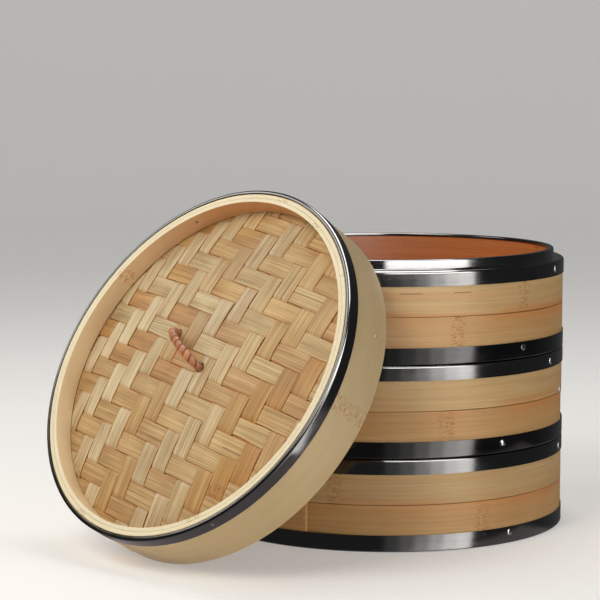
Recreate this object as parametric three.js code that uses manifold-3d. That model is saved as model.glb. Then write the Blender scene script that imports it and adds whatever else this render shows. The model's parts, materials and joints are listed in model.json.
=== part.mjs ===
// Bamboo steamer: three steel-banded bamboo tiers in a stack, and a woven lid that leans on them.
// Millimetres, +Z up. The origin is the middle of the whole footprint, at floor level.
// The lid leans towards -Y; its own frame has +Z out of its woven face and z = 0 at its open edge.
import * as THREE from 'three';
import { mergeVertices } from 'three/addons/utils/BufferGeometryUtils.js';
import Module from 'manifold-3d';

const wasm = await Module();
wasm.setup();

// ---------------------------------------------------------------- driving dimensions

const SEGMENTS = 36;          // sides of every round piece
const GAP = 0.3;              // clearance between pieces that touch on the real steamer
const SHEET = 0.6;            // stainless steel thickness

const WALL_R = 127;           // outside of the bamboo wall
const BOARD = 2.6;            // thickness of the outer boards
const LIP_R = 120.4;          // outside of the steel lip that the tier above drops over
const POT_R = 116.4;          // inside of the inner hoop
const TIER_PITCH = 62.6;      // height that each tier adds to the stack
const TIER_NAMES = ['bottom_tier', 'middle_tier', 'top_tier'];

const BAND_HEIGHT = 11.2;     // bottom band
const COLLAR_FOOT = 52;       // lower edge of the top collar
const SHOULDER = 62.3;        // top of the collar's shoulder, where the next tier rests
const SHOULDER_ROUND = 2;
const LIP_FILLET = 1.5;
const LIP_TOP = 69;
const LIP_TURN_IN = 2.1;      // how far the collar folds down inside the lip
const SEAM = 31.5;            // height of the seam between the two wall boards
const REBATE = 9.6;           // height of the rebate that clears the lip below
const HOOP_FOOT = 13;         // lower edge of the inner hoop and of the floor ring
const FLANGE_CLEAR = 1.8;     // from the lip below to the bottom band's flange
const REBATE_CLEAR = 1.2;     // from the lip below to the backing hoop's rebate

const FLOOR_RING_HEIGHT = 4.4;
const FLOOR_RING_WIDTH = 4.2;
const SLAT_COUNT = 7;
const SLAT_PITCH = 32;
const SLAT_WIDTH = 26;
const SLAT_THICKNESS = 2.2;
const BAR_WIDTH = 10;
const BAR_OFFSET = 48;        // each cross bar's distance from the middle

const LID_HEIGHT = 41;        // open edge to rim
const LID_BAND_HEIGHT = 9;
const SKIRT_TOP = 38;         // the skirt stops under the rim and leaves a groove inside the band
const MOUTH_R = 122.5;        // inside of the open edge, which drops over a tier's lip
const MOUTH_DEPTH = 12;
const RIM_IN = 118.4;         // inside of the rim hoop above the weave
const RIM_OUT = 121.2;
const WEAVE_EDGE_Z = 26;      // top of the weave where the rim hoop presses on it
const DOME_RISE = 13;
const OUTER_WEAVE = 2.4;      // thickness
const INNER_WEAVE = 2;        // thickness
const RETAINER_IN = 117;
const LATH_WIDTH = 12;
const LATH_THICKNESS = 3.5;
const LATH_GAP = 0.6;
const LATH_SPACING = 48;
const LATH_STEPS = 12;        // straight stretches along a bowed lath
const LID_NORMAL = THREE.MathUtils.degToRad(31.5);   // the woven face's tilt above level

const CANE_R = 3;             // half the thickness of the wound cane handle
const HANDLE_X = -9.3;        // middle of the handle on the lid
const HANDLE_Y = 7.3;
const HANDLE_TURN = THREE.MathUtils.degToRad(-32.6);
const HANDLE_HALF = 20.3;     // half the distance between its two feet
const HANDLE_RISE = 11.5;     // height of the cane's middle above the weave
const CANE_HOLE_R = 3.6;
const CANE_BEND = 5;          // radius of the cane's two bends under the weave
const CANE_END = 2;           // each end of the cane stops this far from the middle of the lath
const CANE_SIDES = 8;
const CANE_STEPS = 44;        // along the whole handle
const ARCH_STEPS = 12;        // points over the handle's arch
const HOLE_SIDES = 12;

// ---------------------------------------------------------------- derived dimensions

const DOME_RADII = [0, 30, 60, 90, RIM_IN, RIM_OUT];   // where the domed weaves' section bends
const BAND_IN = WALL_R + GAP;
const BAND_OUT = BAND_IN + SHEET;
const LIP_IN = POT_R - GAP - SHEET;        // inside of the collar's folded edge
const HOOP_OUT = LIP_R - SHEET - GAP;
const FLOOR_TOP = HOOP_FOOT + FLOOR_RING_HEIGHT;
const FLOOR_RING_IN = POT_R - GAP - FLOOR_RING_WIDTH;
const INNER_WEAVE_EDGE_Z = WEAVE_EDGE_Z - OUTER_WEAVE - GAP;
const WEAVE_FOOT = INNER_WEAVE_EDGE_Z - INNER_WEAVE;

// The lid's foot stands on the floor and its open edge leans on the top tier's lip. In the plane of
// the open edge, the lip's top cuts that edge at contactY above the lid's middle, contactX to each
// side; stackFront is how far in front of the stack's axis those two points are.
const lipHeight = 2 * TIER_PITCH + LIP_TOP;
const contactY = lipHeight / Math.cos(LID_NORMAL) - WALL_R;
const contactX = Math.sqrt(MOUTH_R ** 2 - contactY ** 2);
const stackFront = Math.sqrt(LIP_R ** 2 - contactX ** 2);
const LID_FOOT = stackFront + lipHeight * Math.tan(LID_NORMAL) + 2 * GAP;
const lidReach = LID_FOOT + LID_HEIGHT * Math.cos(LID_NORMAL)
  + (BAND_OUT - WALL_R) * Math.sin(LID_NORMAL);
const STACK_Y = (lidReach - BAND_OUT) / 2;

// ---------------------------------------------------------------- materials

function finish(color, roughness, metalness = 0) {
  return () => new THREE.MeshStandardMaterial({ color, roughness, metalness });
}

const paleBamboo = finish(0xe3c898, 0.55);
const warmBamboo = finish(0xd9ae74, 0.55);
const innerBamboo = finish(0xcf9152, 0.6);
const rimBamboo = finish(0xdcb884, 0.55);
const wovenBamboo = finish(0xd8b680, 0.6);
const steel = finish(0xb9bbbe, 0.18, 1);
const cane = finish(0xb4764a, 0.55);

// ---------------------------------------------------------------- shape helpers

// Turns a closed outline of [radius, height] points, anticlockwise, into a ring about Z.
function ring(outline) {
  const points = [...outline, outline[0]].map(([r, z]) => new THREE.Vector2(r, z));
  return new THREE.LatheGeometry(points, SEGMENTS).rotateX(Math.PI / 2);
}

function hoop(inner, outer, foot, top) {
  return ring([[outer, foot], [outer, top], [inner, top], [inner, foot]]);
}

// A straight piece lying flat: its plan is a list of [x, y] corners, anticlockwise.
function plate(corners, foot, thickness) {
  const plan = new THREE.Shape(corners.map(([x, y]) => new THREE.Vector2(x, y)));
  const body = new THREE.ExtrudeGeometry(plan, { depth: thickness, bevelEnabled: false });
  return body.translate(0, 0, foot);
}

function domeHeight(r) {
  return r < RIM_IN ? DOME_RISE * (1 - (r / RIM_IN) ** 2) : 0;
}

// A round sheet of even thickness on the dome, with its edge's top at edgeZ.
function domedSheet(edgeZ, thickness) {
  const under = DOME_RADII.map((r) => [r, edgeZ - thickness + domeHeight(r)]);
  const over = DOME_RADII.map((r) => [r, edgeZ + domeHeight(r)]).reverse();
  const points = [...under, ...over].map(([r, z]) => new THREE.Vector2(r, z));
  return new THREE.LatheGeometry(points, SEGMENTS).rotateX(Math.PI / 2);
}

function toSolid(geometry) {
  const bare = geometry.index ? geometry.toNonIndexed() : geometry.clone();
  bare.deleteAttribute('normal');
  bare.deleteAttribute('uv');
  const merged = mergeVertices(bare);
  const mesh = new wasm.Mesh({
    numProp: 3,
    vertProperties: merged.getAttribute('position').array,
    triVerts: new Uint32Array(merged.getIndex().array),
  });
  return new wasm.Manifold(mesh);
}

function cut(geometry, tools) {
  let body = toSolid(geometry);
  for (const tool of tools) body = body.subtract(toSolid(tool));
  const mesh = body.getMesh();
  const result = new THREE.BufferGeometry();
  result.setAttribute('position', new THREE.BufferAttribute(mesh.vertProperties, 3));
  result.setIndex(new THREE.BufferAttribute(mesh.triVerts, 1));
  return result;
}

function add(group, name, geometry, material) {
  const mesh = new THREE.Mesh(geometry, material());
  mesh.name = name;
  group.add(mesh);
}

// ---------------------------------------------------------------- one tier

// One sheet of steel: outer band, rounded shoulder, fillet, lip, and its fold inside the lip.
function collarOutline() {
  const roundCentre = [BAND_OUT - SHOULDER_ROUND, SHOULDER - SHOULDER_ROUND];
  const filletCentre = [LIP_R + LIP_FILLET, SHOULDER + LIP_FILLET];
  const half = Math.SQRT1_2;
  return [
    [BAND_OUT, COLLAR_FOOT],
    [BAND_OUT, roundCentre[1]],
    [roundCentre[0] + SHOULDER_ROUND * half, roundCentre[1] + SHOULDER_ROUND * half],
    [roundCentre[0], SHOULDER],
    [filletCentre[0], SHOULDER],
    [filletCentre[0] - LIP_FILLET * half, filletCentre[1] - LIP_FILLET * half],
    [LIP_R, filletCentre[1]],
    [LIP_R, LIP_TOP],
    [LIP_IN, LIP_TOP],
    [LIP_IN, LIP_TOP - LIP_TURN_IN],
    [LIP_IN + SHEET, LIP_TOP - LIP_TURN_IN],
    [LIP_IN + SHEET, LIP_TOP - SHEET],
    [LIP_R - SHEET, LIP_TOP - SHEET],
    [LIP_R - SHEET, SHOULDER - SHEET],
    [roundCentre[0] - GAP, SHOULDER - SHEET],
    [BAND_IN, roundCentre[1] - GAP],
    [BAND_IN, COLLAR_FOOT],
  ];
}

// Covers the wall's foot and turns in under it: the tier rests on this flange.
function bottomBand() {
  const flangeIn = LIP_R + FLANGE_CLEAR;
  return ring([
    [BAND_OUT, 0],
    [BAND_OUT, BAND_HEIGHT],
    [BAND_IN, BAND_HEIGHT],
    [BAND_IN, SHEET],
    [flangeIn, SHEET],
    [flangeIn, 0],
  ]);
}

// The inner ply of the wall. Its foot is rebated to drop over the lip of the tier below.
function backingHoop() {
  const outer = WALL_R - BOARD - GAP;
  const inner = HOOP_OUT + GAP;
  const rebated = LIP_R + REBATE_CLEAR;
  const foot = SHEET + GAP;
  const top = SHOULDER - SHEET - GAP;
  return ring([
    [outer, foot],
    [outer, top],
    [inner, top],
    [inner, REBATE],
    [rebated, REBATE],
    [rebated, foot],
  ]);
}

// A floor slat across the pot at height y, its ends following the inner hoop.
function slat(y) {
  const reach = POT_R - 2 * GAP;
  const halfAt = (side) => Math.sqrt(reach ** 2 - side ** 2);
  const [near, far] = [y - SLAT_WIDTH / 2, y + SLAT_WIDTH / 2];
  const corners = [
    [-halfAt(near), near],
    [halfAt(near), near],
    [halfAt(far), far],
    [-halfAt(far), far],
  ];
  return plate(corners, FLOOR_TOP + GAP, SLAT_THICKNESS);
}

function crossBar(x) {
  const [left, right] = [x - BAR_WIDTH / 2, x + BAR_WIDTH / 2];
  const widest = Math.max(Math.abs(left), Math.abs(right));
  const half = Math.sqrt((FLOOR_RING_IN - 2 * GAP) ** 2 - widest ** 2);
  return plate([[left, -half], [right, -half], [right, half], [left, half]],
    HOOP_FOOT, FLOOR_RING_HEIGHT);
}

function buildTier(name, foot) {
  const tier = new THREE.Group();
  tier.position.set(0, STACK_Y, foot);
  const boardTop = SHOULDER - SHOULDER_ROUND - 2 * GAP;
  const parts = [
    ['top_collar', ring(collarOutline()), steel],
    ['bottom_band', bottomBand(), steel],
    ['upper_board', hoop(WALL_R - BOARD, WALL_R, SEAM + GAP, boardTop), paleBamboo],
    ['lower_board', hoop(WALL_R - BOARD, WALL_R, SHEET + GAP, SEAM), warmBamboo],
    ['backing_hoop', backingHoop(), warmBamboo],
    ['inner_hoop', hoop(POT_R, HOOP_OUT, HOOP_FOOT, LIP_TOP - SHEET - GAP), innerBamboo],
    ['floor_ring', hoop(FLOOR_RING_IN, POT_R - GAP, HOOP_FOOT, FLOOR_TOP), innerBamboo],
    ['cross_bar_1', crossBar(-BAR_OFFSET), innerBamboo],
    ['cross_bar_2', crossBar(BAR_OFFSET), innerBamboo],
  ];
  for (let i = 0; i < SLAT_COUNT; i += 1) {
    const y = (i - (SLAT_COUNT - 1) / 2) * SLAT_PITCH;
    parts.push([`slat_${i + 1}`, slat(y), rimBamboo]);
  }
  for (const [part, geometry, material] of parts) add(tier, `${name}_${part}`, geometry, material);
  return tier;
}

// ---------------------------------------------------------------- lid

// The hoop behind the skirt, rebated at the mouth so that the lid drops over a tier's lip.
function liningHoop() {
  const outer = WALL_R - BOARD - GAP;
  const inner = RIM_OUT + GAP;
  return ring([
    [outer, GAP],
    [outer, LID_HEIGHT],
    [inner, LID_HEIGHT],
    [inner, MOUTH_DEPTH],
    [MOUTH_R, MOUTH_DEPTH],
    [MOUTH_R, GAP],
  ]);
}

// A split bamboo lath that bows with the dome under the weave, from hoop to hoop along Y.
function lath(x) {
  const end = Math.sqrt((RETAINER_IN - 2 * GAP) ** 2 - (Math.abs(x) + LATH_WIDTH / 2) ** 2);
  const top = WEAVE_FOOT - LATH_GAP;
  const over = [];
  const under = [];
  for (let i = 0; i <= LATH_STEPS; i += 1) {
    const y = -end + (2 * end * i) / LATH_STEPS;
    const rise = domeHeight(Math.hypot(y, Math.abs(x) + LATH_WIDTH / 2));
    over.push(new THREE.Vector2(y, top + rise));
    under.push(new THREE.Vector2(y, top + rise - LATH_THICKNESS));
  }
  const side = new THREE.Shape([...under, ...over.reverse()]);
  const body = new THREE.ExtrudeGeometry(side, { depth: LATH_WIDTH, bevelEnabled: false });
  const turn = new THREE.Matrix4().makeBasis(
    new THREE.Vector3(0, 1, 0), new THREE.Vector3(0, 0, 1), new THREE.Vector3(1, 0, 0));
  return body.applyMatrix4(turn).translate(x - LATH_WIDTH / 2, 0, 0);
}

// The point s along the handle and z up, on the lid.
function onHandle(s, z) {
  return new THREE.Vector3(
    HANDLE_X + s * Math.cos(HANDLE_TURN), HANDLE_Y + s * Math.sin(HANDLE_TURN), z);
}

// The cane goes over in an arch, down through the weave and back under the middle lath.
function handleLoop() {
  const weaveTop = WEAVE_EDGE_Z + DOME_RISE;
  const lathFoot = WEAVE_FOOT + domeHeight(Math.abs(HANDLE_X) + LATH_WIDTH)
    - LATH_GAP - LATH_THICKNESS;
  const run = lathFoot - GAP - CANE_R;
  const bendStart = HANDLE_HALF - CANE_BEND;
  const points = [onHandle(CANE_END, run), onHandle(bendStart, run)];
  for (const a of [30, 60]) {
    const turn = THREE.MathUtils.degToRad(a);
    const s = bendStart + CANE_BEND * Math.sin(turn);
    points.push(onHandle(s, run + CANE_BEND - CANE_BEND * Math.cos(turn)));
  }
  points.push(onHandle(HANDLE_HALF, run + CANE_BEND));
  for (let i = 0; i <= ARCH_STEPS / 2; i += 1) {
    const turn = (Math.PI * i) / ARCH_STEPS;
    points.push(onHandle(HANDLE_HALF * Math.cos(turn), weaveTop + HANDLE_RISE * Math.sin(turn)));
  }
  const mirrored = points.slice(0, -1).reverse().map((p) => {
    const middle = onHandle(0, p.z);
    return middle.multiplyScalar(2).sub(new THREE.Vector3(p.x, p.y, p.z));
  });
  const path = new THREE.CatmullRomCurve3([...points, ...mirrored], false, 'centripetal');
  const section = new THREE.Shape();
  for (let i = 0; i < CANE_SIDES; i += 1) {
    const turn = (2 * Math.PI * i) / CANE_SIDES;
    const [x, y] = [CANE_R * Math.cos(turn), CANE_R * Math.sin(turn)];
    if (i === 0) section.moveTo(x, y);
    else section.lineTo(x, y);
  }
  section.closePath();
  return new THREE.ExtrudeGeometry(section, {
    steps: CANE_STEPS, extrudePath: path, bevelEnabled: false,
  });
}

function caneHoles() {
  return [-HANDLE_HALF, HANDLE_HALF].map((s) => {
    const foot = onHandle(s, WEAVE_EDGE_Z);
    const hole = new THREE.CylinderGeometry(
      CANE_HOLE_R, CANE_HOLE_R, 2 * LID_HEIGHT, HOLE_SIDES);
    return hole.rotateX(Math.PI / 2).translate(foot.x, foot.y, foot.z);
  });
}

function buildLid() {
  const lid = new THREE.Group();
  lid.rotation.x = Math.PI / 2 - LID_NORMAL;
  lid.position.set(
    0,
    STACK_Y - LID_FOOT + WALL_R * Math.sin(LID_NORMAL),
    WALL_R * Math.cos(LID_NORMAL));
  const holes = caneHoles();
  const innerWeave = cut(domedSheet(INNER_WEAVE_EDGE_Z, INNER_WEAVE), holes);
  const parts = [
    ['skirt', hoop(WALL_R - BOARD, WALL_R, 0, SKIRT_TOP), paleBamboo],
    ['band', hoop(BAND_IN, BAND_OUT, LID_HEIGHT - LID_BAND_HEIGHT, LID_HEIGHT), steel],
    ['lining_hoop', liningHoop(), rimBamboo],
    ['rim_hoop', hoop(RIM_IN, RIM_OUT, WEAVE_EDGE_Z + GAP, LID_HEIGHT), rimBamboo],
    ['retaining_hoop', hoop(RETAINER_IN, RIM_OUT, MOUTH_DEPTH, WEAVE_FOOT - GAP), rimBamboo],
    ['outer_weave', cut(domedSheet(WEAVE_EDGE_Z, OUTER_WEAVE), holes), wovenBamboo],
    ['inner_weave', innerWeave, wovenBamboo],
    ['lath_1', lath(HANDLE_X - LATH_SPACING), warmBamboo],
    ['lath_2', lath(HANDLE_X), warmBamboo],
    ['lath_3', lath(HANDLE_X + LATH_SPACING), warmBamboo],
    ['handle_loop', handleLoop(), cane],
  ];
  for (const [part, geometry, material] of parts) add(lid, `lid_${part}`, geometry, material);
  return lid;
}

// ---------------------------------------------------------------- whole steamer

const steamer = new THREE.Group();
TIER_NAMES.forEach((name, i) => steamer.add(buildTier(name, i * TIER_PITCH)));
steamer.add(buildLid());

export default steamer;
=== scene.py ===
import json
import math
import random

import bmesh
import bpy
from mathutils import Matrix, Vector
from mathutils.bvhtree import BVHTree
from mathutils.interpolate import poly_3d_calc


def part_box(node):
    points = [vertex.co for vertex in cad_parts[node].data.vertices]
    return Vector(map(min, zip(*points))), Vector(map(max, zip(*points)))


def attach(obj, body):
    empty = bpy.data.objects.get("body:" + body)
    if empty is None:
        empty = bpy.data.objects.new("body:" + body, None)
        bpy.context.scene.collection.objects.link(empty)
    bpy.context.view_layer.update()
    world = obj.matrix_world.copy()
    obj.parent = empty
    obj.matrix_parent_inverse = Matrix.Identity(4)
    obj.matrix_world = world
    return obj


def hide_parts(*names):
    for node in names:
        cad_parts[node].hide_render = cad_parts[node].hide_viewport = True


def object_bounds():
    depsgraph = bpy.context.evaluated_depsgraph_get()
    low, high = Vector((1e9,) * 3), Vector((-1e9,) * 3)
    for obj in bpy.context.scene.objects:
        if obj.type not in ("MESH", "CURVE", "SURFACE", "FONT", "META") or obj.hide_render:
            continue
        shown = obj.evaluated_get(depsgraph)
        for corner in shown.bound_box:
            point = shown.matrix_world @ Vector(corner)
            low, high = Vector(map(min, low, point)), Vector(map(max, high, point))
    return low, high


# Bamboo steamer: three steel-banded tiers and a woven lid leaning on them. Shapes are worked out
# in millimetres in each body's own frame (a tier's z is 0 at its foot, the lid's at its open edge,
# with +Z out of the woven face) and become metres when a mesh is made. Random draws come only
# from generators with fixed seeds.
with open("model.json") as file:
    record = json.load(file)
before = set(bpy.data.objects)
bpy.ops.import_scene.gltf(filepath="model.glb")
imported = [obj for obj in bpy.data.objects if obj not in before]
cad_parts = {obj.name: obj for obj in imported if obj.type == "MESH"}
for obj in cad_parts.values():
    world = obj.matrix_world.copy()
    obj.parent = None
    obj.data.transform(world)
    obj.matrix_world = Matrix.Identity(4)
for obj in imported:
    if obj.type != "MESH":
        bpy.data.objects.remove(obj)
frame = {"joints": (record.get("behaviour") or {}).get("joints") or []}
cad_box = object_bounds()

MM = 0.001
TIERS = ["bottom_tier", "middle_tier", "top_tier"]

# ------------------------------------------------ sizes in mm, as in the CAD part

GAP = 0.3
SHEET = 0.4
WALL_R = 127.0
BOARD = 2.6
LIP_R = 120.4
POT_R = 116.4
BAND_HEIGHT = 11.2
COLLAR_FOOT = 52.0
SHOULDER = 62.3
SHOULDER_ROUND = 2.0
LIP_FILLET = 1.5
LIP_TOP = 69.0
LIP_TURN_IN = 2.1
LIP_TAPER = 0.2
LIP_ROLL = 0.9
SEAM = 31.5
SEAM_GAP = 0.1
REBATE = 9.6
HOOP_FOOT = 13.0
RING_TOP = 17.4
RING_WIDTH = 4.2
SLAT_PITCH = 32.0
SLAT_WIDTH = 26.0
SLAT_THICKNESS = 2.2
BAR_WIDTH = 10.0
BAR_OFFSET = 48.0
BAND_R = WALL_R + 0.1 + SHEET
BAND_TURN_IN = LIP_R + 1.8   # how far in a tier's bottom band reaches under the wall
BAND_ROUND = 0.8
LIP_CLEARANCE = 1.2          # between the lip of a tier and the foot of the next

LID_HEIGHT = 41.0
LID_BAND_FOOT = 32.0
SKIRT_TOP = 38.0
MOUTH_R = 122.5
MOUTH_DEPTH = 12.0
RIM_IN = 118.4
RIM_OUT = 121.2
LINING_OUT = WALL_R - BOARD - GAP
BAND_ROLL = 1.5
LINING_GROOVE = 1.1
WEAVE_EDGE_Z = 26.0
DOME_RISE = 13.0
OUTER_WEAVE = 2.4
INNER_WEAVE = 2.0
RETAINER_IN = 117.0
INNER_EDGE_Z = WEAVE_EDGE_Z - OUTER_WEAVE - GAP
WEAVE_FOOT = INNER_EDGE_Z - INNER_WEAVE
LATH_WIDTH = 12.0
LATH_THICKNESS = 3.5
LATH_GAP = 0.6
LATH_SPACING = 48.0
HANDLE_X, HANDLE_Y = -9.3, 7.3
HANDLE_TURN = math.radians(-32.6)
HANDLE_HALF = 20.3
HANDLE_RISE = 11.5
CANE_R = 3.0
CANE_HOLE_R = 3.6

# The two directions of the weave: the angle the strips run at, which way their offsets count, the
# distance between them, the offset of strip 0 from the lid's middle and the strips' numbers.
STEEP = {"angle": math.radians(82.0), "side": 1, "pitch": 13.7, "first": -55.9,
         "range": range(-5, 14)}
CROSS = {"angle": math.radians(-10.4), "side": -1, "pitch": 13.4, "first": 26.8,
         "range": range(-11, 8)}

ROUND_STEPS = 256     # sides of every hoop
FAR_FROM_NODE = 99.0  # distance from a bamboo joint that shows no sign of it, mm
END_GAP = 0.35        # gap between the ends of a bent hoop, mm
LAP_LENGTH = 55.0     # how far the lower end takes to come up to the face again, mm
CUT_END = 1.3         # length of the slanting cut at a hoop's upper end, mm
# The cut is lighter partly as paler end grain and partly as painted light on a face that meets the
# lamps.
CUT_LIGHT = 1.7       # how much lighter the cut is than the strip's face
LIGHTEST = 0.9        # but no part of it reflects more than this
# A strip's darker edge is partly its brown cut edge and partly painted shade of the gap beside it.
EDGE_BAND = 0.5       # width of the darker edge of a strip, mm
NO_SPLIT = 60.0       # distance from a split in the wood that shows no sign of it, mm
PIN_HEAD = 2.3        # radius of a pin's head, mm
PIN_SHANK_R = 0.7
PIN_LENGTH = 3.0      # of the shank, mm

# ------------------------------------------------ frames of the bodies


def tier_frame(tier):
    low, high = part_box(f"{tier}_bottom_band")
    middle = (low + high) / 2
    return Matrix.Translation((middle.x, middle.y, low.z))


def lid_frame():
    lift = next(j for j in frame["joints"] if j["child"] == "lid")
    out = Vector(lift["axis"]).normalized()
    low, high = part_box("lid_skirt")
    origin = (low + high) / 2 - out * (SKIRT_TOP / 2 * MM)
    side = Vector((1, 0, 0))
    basis = Matrix((side, out.cross(side), out)).transposed().to_4x4()
    return Matrix.Translation(origin) @ basis


AT = {tier: tier_frame(tier) for tier in TIERS}
AT["lid"] = lid_frame()

# ------------------------------------------------ meshes


def clamp(x):
    return max(0.0, min(1.0, x))


def new_object(name, data):
    obj = bpy.data.objects.new(name, data)
    bpy.context.scene.collection.objects.link(obj)
    return obj


def new_mesh(name, verts, faces):
    """A mesh of closed shells, with its normals pointing out."""
    mesh = bpy.data.meshes.new(name)
    mesh.from_pydata(verts, [], faces)
    made = bmesh.new()
    made.from_mesh(mesh)
    bmesh.ops.recalc_face_normals(made, faces=made.faces)
    made.to_mesh(mesh)
    made.free()
    return mesh


def solid(name, body, parts, material, replaces=(), at=None, crease=38):
    """One piece from closed shells. Each part is (verts, faces, loc, mark, tint), with loc and mark
    a value for each vertex, and tint too or one colour for the whole shell."""
    verts, faces, loc, mark, tint = [], [], [], [], []
    for v, f, part_loc, part_mark, part_tint in parts:
        base = len(verts)
        verts += v
        faces += [tuple(base + i for i in face) for face in f]
        loc += part_loc
        mark += part_mark
        tint += part_tint if isinstance(part_tint, list) else [part_tint] * len(v)
    mesh = new_mesh(name, [(x * MM, y * MM, z * MM) for x, y, z in verts], faces)
    for label, values in (("loc", loc), ("mark", mark)):
        layer = mesh.attributes.new(label, "FLOAT_VECTOR", "POINT")
        layer.data.foreach_set("vector", [c for value in values for c in value])
    layer = mesh.attributes.new("tint", "FLOAT_COLOR", "POINT")
    layer.data.foreach_set("color", [c for value in tint for c in (*value, 1.0)])
    mesh.shade_smooth()
    mesh.set_sharp_from_angle(angle=math.radians(crease))
    mesh.materials.append(material)
    obj = new_object(name, mesh)
    obj.matrix_world = AT[body] if at is None else AT[body] @ at
    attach(obj, body)
    if replaces:
        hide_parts(*replaces)
    return obj


def soften(outline, radius, steps=3):
    """The outline with each corner rounded."""
    points = []
    count = len(outline)
    for i, corner in enumerate(outline):
        here = Vector(corner)
        before, after = Vector(outline[i - 1]), Vector(outline[(i + 1) % count])
        start = here + (before - here).normalized() * min(radius, (before - here).length * 0.45)
        end = here + (after - here).normalized() * min(radius, (after - here).length * 0.45)
        for k in range(steps + 1):
            f = k / steps
            point = start * (1 - f) ** 2 + here * 2 * f * (1 - f) + end * f * f
            points.append((point.x, point.y))
    return points


def arc(cx, cy, radius, start, end, steps=6):
    turns = [math.radians(start + (end - start) * k / steps) for k in range(steps + 1)]
    return [(cx + radius * math.cos(a), cy + radius * math.sin(a)) for a in turns]


def sheet_outline(path, thickness):
    """The section of bent sheet metal: path is its outer face, and the metal is on path's left."""
    inner = []
    for i, point in enumerate(path):
        before = Vector(path[max(i - 1, 0)])
        after = Vector(path[min(i + 1, len(path) - 1)])
        along = (after - before).normalized()
        inner.append((point[0] - along.y * thickness, point[1] + along.x * thickness))
    return path + inner[::-1]


def box_outline(inner, outer, foot, top):
    return [(outer, foot), (outer, top), (inner, top), (inner, foot)]


def skin(rows, size, closed=False):
    """The faces between each row of vertices and the next, and if closed, the last and first."""
    faces = []
    for k in range(rows if closed else rows - 1):
        a, b = k * size, ((k + 1) % rows) * size
        for j in range(size):
            n = (j + 1) % size
            faces.append((a + j, b + j, b + n, a + n))
    return faces


def ripple(seed, turns=(2, 3, 5, 9)):
    """A smooth wobble round a hoop, from -1 to 1."""
    own = random.Random(seed)
    waves = [(n, own.uniform(0, math.tau), own.uniform(0.5, 1.0) / n ** 0.5) for n in turns]
    total = sum(w[2] for w in waves)
    return lambda a: sum(w * math.sin(n * a + p) for n, p, w in waves) / total


def hoop_part(outline, tint, seed, start=None, lap=0.0, lap_in=False, nodes=(), wobble=0.0,
              edge_wave=0.0, warm=None, slits=()):
    """A hoop about Z. With a start angle it is a bent strip whose ends meet there, the one end
    lap mm lower than the other; without one it is a closed ring. tint is one colour or a function
    of (angle, r, z); warm(angle, z) is how far a point takes the material's edge colour; nodes are
    the angles of the culm's joints; slits are splits along the grain, each (from angle, to angle,
    height). Angles are in degrees."""
    rs, zs = [p[0] for p in outline], [p[1] for p in outline]
    middle_r, middle_z = (min(rs) + max(rs)) / 2, (min(zs) + max(zs)) / 2
    own = random.Random(seed)
    shift = [own.uniform(-400, 400) for _ in range(3)]
    in_out, up_down = ripple(seed + 1), ripple(seed + 2, (2, 3, 5, 11))
    closed = start is None
    first = 0.0 if closed else math.radians(start) + END_GAP / 2 / max(rs)
    sweep_angle = math.tau if closed else math.tau - END_GAP / max(rs)
    shares = [k / ROUND_STEPS for k in range(ROUND_STEPS if closed else ROUND_STEPS + 1)]
    if not closed:
        cut = CUT_END / (sweep_angle * middle_r)
        shares[-1:] = [1 - cut, 1.0] if lap else [1.0]
    rows = len(shares)
    node_angles = [math.radians(n) for n in nodes]
    verts, loc, mark, tints = [], [], [], []
    for k, share in enumerate(shares):
        a = first + sweep_angle * share
        c, s = math.cos(a), math.sin(a)
        run = sweep_angle * share * middle_r
        low = lap * max(0.0, 1 - run / LAP_LENGTH) ** 1.5
        cut_face = lap > 0 and k == rows - 1
        if cut_face:
            low = lap * 0.8
        wob = wobble * (in_out(a) - 1) / 2
        wave = edge_wave * (up_down(a) + 1) / 2
        apart = FAR_FROM_NODE
        for n in node_angles:
            d = (a - n + math.pi) % math.tau - math.pi
            if abs(d) * middle_r < abs(apart):
                apart = d * middle_r
        degrees = (math.degrees(a) + 180) % 360 - 180
        split = next((h for low_a, high_a, h in slits if low_a < degrees < high_a), None)
        for r, z in outline:
            outside = r > middle_r
            rr = r + (wob if outside else -wob * 0.3)
            if outside and not lap_in:
                rr -= low
            if not outside and lap_in:
                rr += low
            zz = z - wave if z > middle_z else z + wave * 0.4
            verts.append((rr * c, rr * s, zz))
            grain = z + 1.9 * (r - middle_r)
            loc.append((rr * c + shift[0], rr * s + shift[1], grain + shift[2]))
            mark.append((apart, warm(degrees, z) if warm else 0.0,
                         NO_SPLIT if split is None else z - split))
            own_tint = tint(degrees, r, z) if callable(tint) else tint
            # The slanting cut at a lapped end is lighter: partly paler end grain, partly painted
            # light.
            light = min(CUT_LIGHT, LIGHTEST / max(own_tint)) if cut_face else 1.0
            tints.append(tuple(c * light for c in own_tint))
    size = len(outline)
    faces = skin(rows, size, closed)
    if not closed:
        faces.append(tuple(range(size))[::-1])
        faces.append(tuple((rows - 1) * size + j for j in range(size)))
    return verts, faces, loc, mark, tints


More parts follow.
